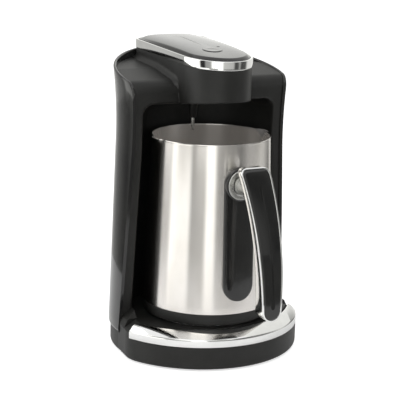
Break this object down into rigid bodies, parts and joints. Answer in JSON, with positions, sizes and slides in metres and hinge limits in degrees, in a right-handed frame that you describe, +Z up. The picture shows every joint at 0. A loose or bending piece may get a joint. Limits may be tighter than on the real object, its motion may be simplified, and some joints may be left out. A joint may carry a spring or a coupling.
{
  "type": "electric turkish coffee maker",
  "caption": "Upright hotplate machine that brews foamed coffee in a steel pot with a long side handle; the pot stands in an open bay under a probe, with a start button on top",
  "frame": {"origin": "Bottom centre of the whole machine's box, with the pot in place, on the surface it stands on.", "axes": "+Z up, -Y toward the user, where the pot's handle points; +X to the user's right."},
  "size_m": [0.1396, 0.1792, 0.225],
  "materials": {
    "satin_black": "satin moulded",
    "gloss_black": "high gloss",
    "chrome": "mirror",
    "pot_steel": "brushed upright",
    "plate_steel": "turned",
    "aluminium": "cast and turned",
    "screw_steel": "zinc plated",
    "rubber": "moulded",
    "silicone": "moulded",
    "circuit_board": "solder mask",
    "component_black": "moulded",
    "relay_blue": "moulded",
    "coil_yellow": "taped",
    "ceramic": "glazed",
    "white_plastic": "moulded",
    "clear_plastic": "polished",
    "wire_jacket": "extruded",
    "spring_steel": "drawn wire"
  },
  "bodies": {
    "machine": {"base_housing": "satin_black", "bottom_cover": "satin_black", "rubber_feet": "rubber", "cover_screws": "screw_steel", "cord_gland": "rubber", "chrome_ring": "chrome", "hotplate": "aluminium", "plate_seal": "silicone", "plate_tray": "plate_steel", "tray_screws": "screw_steel", "heating_element": "plate_steel", "thermostat": "ceramic", "thermal_fuse": "white_plastic", "terminal_block": "white_plastic", "side_shell": "gloss_black", "front_casing": "satin_black", "head_housing": "satin_black", "head_floor": "satin_black", "chrome_band": "chrome", "top_carrier": "satin_black", "top_plate": "gloss_black", "button_spring": "spring_steel", "control_board": "circuit_board", "button_switch": "component_black", "pilot_led": "white_plastic", "light_pipe": "clear_plastic", "board_screws": "screw_steel", "buzzer": "component_black", "probe_boss": "satin_black", "probe_rod": "plate_steel", "power_board": "circuit_board", "power_board_screws": "screw_steel", "relay": "relay_blue", "transformer": "coil_yellow", "capacitor": "component_black", "board_plug": "white_plastic", "harness": "wire_jacket", "mains_wires": "wire_jacket"},
    "pot": {"pot_body": "pot_steel", "pot_cap": "satin_black", "pot_heat_disc": "aluminium", "handle_strip": "satin_black", "handle_collar": "satin_black", "collar_ring": "chrome", "handle_neck": "plate_steel", "handle_frame": "chrome", "handle_insert": "gloss_black", "handle_screw": "screw_steel", "handle_stud": "screw_steel"},
    "button": {"start_button": "gloss_black"}
  },
  "joints": [
    {"name": "pot_slide", "type": "slide", "parent": "machine", "child": "pot", "axis": [0, -1, 0], "range_m": [0, 0.13]},
    {"name": "start_button_press", "type": "slide", "parent": "machine", "child": "button", "axis": [0, 0, -1], "range_m": [0, 0.0008], "stiffness_N_per_m": 900, "springref_m": -0.001, "deforming": ["button_spring"]}
  ]
}
